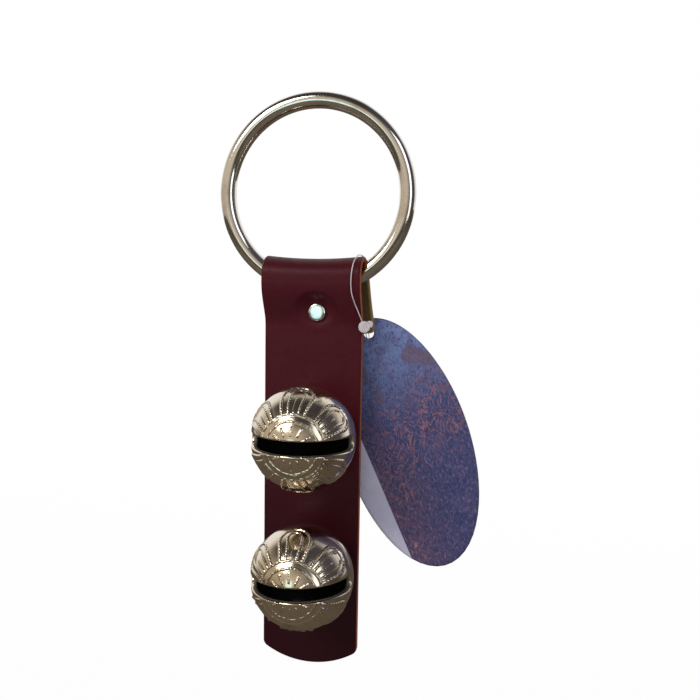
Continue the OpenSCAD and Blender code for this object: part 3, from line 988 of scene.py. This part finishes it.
def bell_relief(theta, phi, radius, shift):
    """Height of the cast pattern: two rings, six double petals with veins, and rays round the front."""
    wave = 0.010 * np.sin(7 * phi + shift) + 0.006 * np.sin(19 * phi + 2 * shift)
    theta = theta + wave * 0.5
    height = np.zeros_like(theta)
    for angle, half_width, level in ((RING_ANGLES[0], 0.42, 0.30), (RING_ANGLES[1], 0.5, 0.34)):
        height = np.maximum(height, ridge(radius * (theta - math.radians(angle)), half_width, level))
    for at in PETAL_AT:
        turned = (phi - math.radians(at) + math.pi) % (2 * math.pi) - math.pi
        turned = turned + 0.012 * np.sin(9 * theta + at + shift)
        outer = 19.5 if at in (0, 180) else 17.0
        height = np.maximum(height, loop_ridge(theta, turned, radius, outer, 79.5, 0.58, 0.46))
        height = np.maximum(height, loop_ridge(theta, turned, radius, 9.0, 73.5, 0.46, 0.38))
        vein = ridge(radius * np.sin(theta) * turned, 0.36, 0.26)
        reach = smoothstep(theta, math.radians(37), math.radians(40)) * smoothstep(-theta, -math.radians(64), -math.radians(56))
        height = np.maximum(height, vein * reach)
        inside = smoothstep(-abs(turned), -math.radians(outer), -math.radians(outer - 9))
        hollow = inside * smoothstep(theta, math.radians(40), math.radians(52)) * smoothstep(-theta, -math.radians(78), -math.radians(70))
        height = height - 0.10 * hollow
    for at in (-56, -28, 0, 28, 56, 124, 152, 180, 208, 236):
        turned = (phi - math.radians(at) + math.pi) % (2 * math.pi) - math.pi
        ray = ridge(radius * np.sin(theta) * turned, 0.40, 0.28)
        reach = smoothstep(theta, math.radians(13), math.radians(15.5)) * smoothstep(-theta, -math.radians(25), -math.radians(22))
        height = np.maximum(height, ray * reach)
    beads = 1 + 0.22 * np.sin(radius * theta * 5.2 + 3 * np.sin(5 * phi + shift)) * np.sin(31 * phi + shift)
    return height * beads


def sphere_rows(theta, phi, radius):
    return np.stack([radius * np.sin(theta) * np.sin(phi), -radius * np.cos(theta), radius * np.sin(theta) * np.cos(phi)], -1)


def make_bell(name, body, turn, shift, material):
    """Cast shell laid out in rings from the slot's lip to the boss and shank at the back."""
    middle, radius, shank_end = bell_place(name)
    phi = np.linspace(-math.pi, math.pi, BELL_COLUMNS, endpoint=False)
    inner_r = radius - BELL_WALL
    inner_lip = slot_angle(phi, inner_r, SLOT_HALF)
    rows = [sphere_rows(inner_lip + (math.radians(176) - inner_lip) * t, phi, inner_r) for t in np.linspace(1, 0, INNER_ROWS)]

    def outer(theta, depth):
        level = bell_relief(theta, phi, radius, shift) * smoothstep(np.full_like(theta, LIP_R - depth), 0, LIP_R)
        return sphere_rows(theta, phi, radius + level - depth)

    for bend in (90, 72, 54, 36, 18, 0):
        a = math.radians(bend)
        half = SLOT_HALF + LIP_R * (1 - math.sin(a))
        rows.append(outer(slot_angle(phi, radius, half), LIP_R * (1 - math.cos(a))))
    start = slot_angle(phi, radius, SLOT_HALF + LIP_R)
    side, boss = math.radians(92), math.radians(156)
    for t in np.linspace(0, 1, BELL_ROWS)[1:]:
        rows.append(outer(start + (side - start) * t, 0.0))
    for t in np.linspace(0, 1, 40)[1:]:
        rows.append(outer(np.full_like(phi, side + (boss - side) * t), 0.0))
    face = FRONT_Y - 0.1 - middle[1]
    turned = [(BOSS_R + 0.9, face - 2.7), (BOSS_R + 0.35, face - 2.0), (BOSS_R + 0.08, face - 1.2), (BOSS_R, face - 0.4),
              (BOSS_R - 0.3, face), (SHANK_R, face), (SHANK_R, shank_end - 0.35), (SHANK_R - 0.35, shank_end), (0.4, shank_end)]
    for r, y in turned:
        rows.append(np.stack([r * np.sin(phi), np.full_like(phi, y), r * np.cos(phi)], -1))
    spun = []
    for row in rows:
        x, y, z = row[:, 0], row[:, 1], row[:, 2]
        spun.append(np.stack([x * math.cos(turn) + z * math.sin(turn), y, z * math.cos(turn) - x * math.sin(turn)], 1) + middle)
    points, faces = closed_tube(spun)
    bell = new_object(name, points, faces, body, [name], material)
    inside = np.zeros(len(points))
    inside[:INNER_ROWS * BELL_COLUMNS] = 1.0
    inside[len(spun) * BELL_COLUMNS] = 1.0
    store(bell, "inside", inside, "FLOAT")
    return bell


bell_plate = plated_metal("bell_plate", paint(224, 212, 192), paint(190, 174, 150), 0.11, 900.0, 0.8, paint(22, 18, 14))
make_bell("upper_bell", "upper_bell", math.radians(0), 0.7, bell_plate)
make_bell("lower_bell", "lower_bell", math.radians(-2), 2.9, bell_plate)


def make_pellet(name, material, shift):
    """Rough steel ball, worn into faint facets."""
    low, high = box_mm(name)
    middle, radius = (low + high) / 2, (high[0] - low[0]) / 2
    work = bmesh.new()
    bmesh.ops.create_icosphere(work, subdivisions=5, radius=1.0)
    points, faces = [], [[v.index for v in f.verts] for f in work.faces]
    for v in work.verts:
        dent = 0.010 * noise.noise(v.co * 3.1 + Vector((shift, 0, 0))) + 0.004 * noise.noise(v.co * 11.0)
        points.append(middle + np.array(v.co) * radius * (1 - 0.008 + dent))
    work.free()
    return new_object(name, np.array(points), faces, name, [name], material)


pellet_steel = plated_metal("pellet_steel", paint(150, 150, 152), paint(104, 98, 92), 0.34, 500.0, 0.9)
make_pellet("upper_pellet", pellet_steel, 0.0)
make_pellet("lower_pellet", pellet_steel, 5.0)

# ---------------------------------------------------------------- split pins


def make_pin(name, body, bell_name, material):
    """Split pin of half-round wire: two bent legs through the shank and a round eye above."""
    bell_middle = bell_place(bell_name)[0]
    low, high = box_mm(name)
    middle = np.array([bell_middle[0], 1.25, bell_middle[2]])
    gap, below, bend_r, leg = 0.05, SHANK_R + 0.3, 2 * PIN_R, 2.8
    bend = math.radians(50)
    leg_path = []
    start = np.array([gap + bend_r - bend_r * math.cos(bend), -below - bend_r * math.sin(bend)])
    down = np.array([math.sin(bend), -math.cos(bend)])
    leg_path.append(start + down * leg)
    leg_path.append(start + down * leg / 2)
    for t in np.linspace(bend, 0, 8):
        leg_path.append(np.array([gap + bend_r - bend_r * math.cos(t), -below - bend_r * math.sin(t)]))
    eye_r = 2.8 - PIN_R
    eye_z = high[2] - middle[2] - 2.8
    leg_path += [np.array([gap, z]) for z in (-1.0, 1.5, 3.4)]
    leg_path += [np.array([0.16, 4.2]), np.array([0.55, 4.85])]
    right = leg_path + [np.array([eye_r * math.sin(a), eye_z - eye_r * math.cos(a)])
                        for a in np.linspace(math.radians(48), math.pi, 16)]
    path = np.array(right + [np.array([-p[0], p[1]]) for p in right[-2::-1]])
    along = np.gradient(path, axis=0)
    along = along / np.linalg.norm(along, axis=1)[:, None]
    side = np.stack([along[:, 1], -along[:, 0]], 1)
    arc = np.linspace(-math.pi / 2, math.pi / 2, 17)
    rows = []
    for p, n in zip(path, side):
        out = PIN_R * np.cos(arc)
        rows.append(np.stack([p[0] + n[0] * out, PIN_R * np.sin(arc), p[1] + n[1] * out], 1) + middle)
    points, faces = closed_tube(rows)
    return new_object(name, points, faces, body, [name], material)


pin_steel = plated_metal("pin_steel", paint(204, 200, 192), paint(168, 160, 148), 0.2, 1300.0)
make_pin("upper_cotter_pin", "upper_bell", "upper_bell", pin_steel)
make_pin("lower_cotter_pin", "lower_bell", "lower_bell", pin_steel)

bpy.context.scene.view_settings.view_transform = "Standard"
